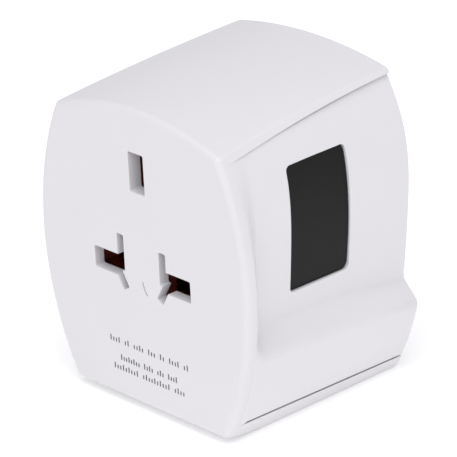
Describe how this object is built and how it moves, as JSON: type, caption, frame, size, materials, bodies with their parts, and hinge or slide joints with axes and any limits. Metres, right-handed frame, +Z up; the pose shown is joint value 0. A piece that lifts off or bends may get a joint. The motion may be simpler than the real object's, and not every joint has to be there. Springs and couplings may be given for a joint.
{
  "type": "universal travel adapter",
  "caption": "Pocket adapter with a universal socket face, scooped sides with black release pads, and sliding UK, European and American or Australian plug pins at the rear.",
  "frame": {"origin": "centre of the bounding box in plan, on the plane the adapter stands on", "axes": "+Y points from the socket face to the plug pins, +Z up to the crowned top, +X to the right seen from the socket face"},
  "size_m": [0.063, 0.0506, 0.0704],
  "materials": {
    "case_white": "satin moulded white polycarbonate",
    "soft_black": "soft-touch black elastomer skin",
    "insulator_dark": "dark flame-retardant nylon",
    "contact_copper": "bare rolled copper alloy strip",
    "pin_nickel": "nickel plated turned brass",
    "pin_plastic": "moulded white nylon",
    "carrier_grey": "moulded grey glass-filled nylon",
    "knob_black": "ribbed black moulding",
    "spring_steel": "drawn spring steel wire",
    "screw_zinc": "zinc plated steel"
  },
  "bodies": {
    "case": {"front_cover": "case_white", "top_shell": "case_white", "bottom_shell": "case_white", "side_panel_right": "case_white", "side_panel_left": "case_white", "rear_cover": "case_white", "case_screws": "screw_zinc", "button_spring_right": "spring_steel", "button_spring_left": "spring_steel", "contact_block": "insulator_dark", "live_contact": "contact_copper", "neutral_contact": "contact_copper", "middle_frame": "insulator_dark", "live_busbar": "contact_copper", "neutral_busbar": "contact_copper", "guide_rods": "spring_steel"},
    "release_pad_right": {"release_button_right": "soft_black"},
    "release_pad_left": {"release_button_left": "soft_black"},
    "uk_set": {"uk_carrier": "carrier_grey", "uk_live_pin": "pin_nickel", "uk_neutral_pin": "pin_nickel", "uk_earth_pin": "pin_plastic", "uk_knob": "knob_black"},
    "eu_set": {"eu_carrier": "carrier_grey", "eu_pin_left": "pin_nickel", "eu_pin_right": "pin_nickel", "eu_knob": "knob_black"},
    "us_set": {"us_carrier": "carrier_grey", "us_knob": "knob_black"},
    "us_pin_left": {"us_blade_left": "pin_nickel", "us_turret_left": "pin_plastic"},
    "us_pin_right": {"us_blade_right": "pin_nickel", "us_turret_right": "pin_plastic"}
  },
  "joints": [
    {"name": "uk_slide", "type": "slide", "parent": "case", "child": "uk_set", "axis": [0, 1, 0], "range_m": [0, 0.0176]},
    {"name": "eu_slide", "type": "slide", "parent": "case", "child": "eu_set", "axis": [0, 1, 0], "range_m": [0, 0.0176]},
    {"name": "us_slide", "type": "slide", "parent": "case", "child": "us_set", "axis": [0, 1, 0], "range_m": [0, 0.0176]},
    {"name": "us_turn_right", "type": "hinge", "parent": "us_set", "child": "us_pin_right", "pos_m": [0.00635, 0.00205, 0.0195], "axis": [0, 1, 0], "range_deg": [0, 30]},
    {"name": "us_turn_left", "type": "hinge", "parent": "us_set", "child": "us_pin_left", "pos_m": [-0.00635, 0.00205, 0.0195], "axis": [0, 1, 0], "range_deg": [-30, 0]},
    {"name": "release_right", "type": "slide", "parent": "case", "child": "release_pad_right", "axis": [-1, 0, 0], "range_m": [0, 0.0015], "stiffness_N_per_m": 2000, "springref_m": -0.0005, "deforming": ["button_spring_right"]},
    {"name": "release_left", "type": "slide", "parent": "case", "child": "release_pad_left", "axis": [1, 0, 0], "range_m": [0, 0.0015], "stiffness_N_per_m": 2000, "springref_m": -0.0005, "deforming": ["button_spring_left"]}
  ],
  "couplings": [
    {"joint": "us_turn_left", "follows": "us_turn_right", "ratio": -1}
  ]
}
